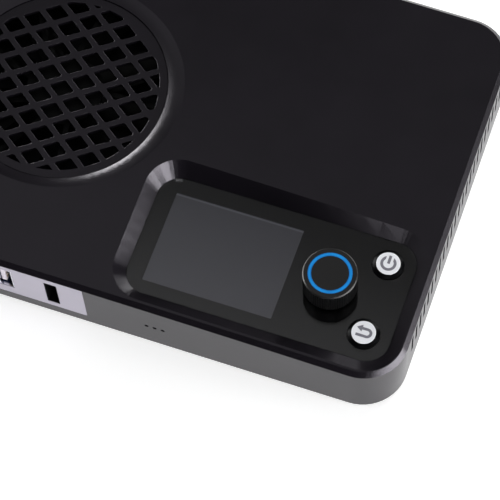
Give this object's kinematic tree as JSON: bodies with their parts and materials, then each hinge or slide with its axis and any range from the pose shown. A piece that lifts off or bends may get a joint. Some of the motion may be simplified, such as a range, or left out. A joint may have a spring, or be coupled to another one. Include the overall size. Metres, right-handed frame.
{
  "type": "led panel light",
  "caption": "Slim LED panel light lying on its diffuser, with a dished fan grille, display, press-and-turn knob, push buttons, side vents and a port edge.",
  "frame": {"origin": "middle of the base rectangle, on the surface that the light lies on", "axes": "+X along the long side towards the control panel, +Y from the port edge to the far edge, +Z out of the rear face"},
  "size_m": [0.306, 0.152, 0.0353],
  "materials": {
    "housing_plastic": "matte",
    "black_plastic": "matte",
    "glossy_black": "gloss",
    "port_plastic": "satin",
    "white_plastic": "satin",
    "icon_grey": "matte",
    "ring_blue": "translucent",
    "opal": "opal",
    "cover_glass": "gloss",
    "display_grey": "gloss",
    "aluminium_part": "satin",
    "steel_part": "satin",
    "shell_nickel": "gloss",
    "brass_part": "satin",
    "gold_contact": "gloss",
    "circuit_board": "satin",
    "white_board": "satin",
    "chip_yellow": "satin",
    "port_tongue": "satin",
    "ribbon": "satin"
  },
  "bodies": {
    "chassis": {"rear_housing": "housing_plastic", "front_frame": "black_plastic", "diffuser": "opal", "reflector_tray": "white_plastic", "led_board": "white_board", "led_packages": "chip_yellow", "heat_sink": "aluminium_part", "fan_grille": "housing_plastic", "fan_frame": "black_plastic", "fan_bearing": "brass_part", "fan_screws": "steel_part", "cover_glass": "cover_glass", "mask_sheet": "glossy_black", "display_frame": "steel_part", "display_panel": "display_grey", "display_ribbon": "ribbon", "control_board": "circuit_board", "control_screws": "steel_part", "encoder_body": "black_plastic", "encoder_bushing": "steel_part", "button_guide": "black_plastic", "tact_switches": "steel_part", "port_plate": "port_plastic", "port_board": "circuit_board", "usb_a_shell": "shell_nickel", "usb_a_tongue": "port_tongue", "usb_a_contacts": "gold_contact", "usb_c_shell": "shell_nickel", "usb_c_tongue": "black_plastic", "dc_jack": "black_plastic", "dc_pin": "steel_part", "accessory_socket": "black_plastic", "microphone": "circuit_board", "main_board": "circuit_board", "coils": "black_plastic", "capacitors": "aluminium_part", "wireless_module": "steel_part", "power_harness": "port_tongue", "fan_lead": "black_plastic", "mount_insert": "brass_part", "frame_screws": "steel_part", "sink_screws": "steel_part", "board_screws": "steel_part"},
    "fan": {"fan_rotor": "black_plastic", "fan_shaft": "steel_part"},
    "plunger": {"encoder_plunger": "white_plastic"},
    "knob": {"encoder_shaft": "steel_part", "knob_grip": "black_plastic", "knob_cap": "black_plastic", "knob_ring": "ring_blue"},
    "power_key": {"power_button": "glossy_black", "power_disc": "white_plastic", "power_icon": "icon_grey", "power_stem": "black_plastic"},
    "back_key": {"back_button": "glossy_black", "back_disc": "white_plastic", "back_icon": "icon_grey", "back_stem": "black_plastic"}
  },
  "joints": [
    {"name": "fan_spin", "type": "hinge", "parent": "chassis", "child": "fan", "pos_m": [0, 0, 0.02], "axis": [0, 0, 1], "continuous": true},
    {"name": "knob_press", "type": "slide", "parent": "chassis", "child": "plunger", "axis": [0, 0, -1], "range_m": [0, 0.0005], "stiffness_N_per_m": 6000, "springref_m": -0.0002},
    {"name": "knob_turn", "type": "hinge", "parent": "plunger", "child": "knob", "pos_m": [0.1193, -0.0448, 0.03], "axis": [0, 0, 1], "continuous": true},
    {"name": "power_press", "type": "slide", "parent": "chassis", "child": "power_key", "axis": [0, 0, -1], "range_m": [0, 0.0004], "stiffness_N_per_m": 4000, "springref_m": -0.0002},
    {"name": "back_press", "type": "slide", "parent": "chassis", "child": "back_key", "axis": [0, 0, -1], "range_m": [0, 0.0004], "stiffness_N_per_m": 4000, "springref_m": -0.0002}
  ]
}
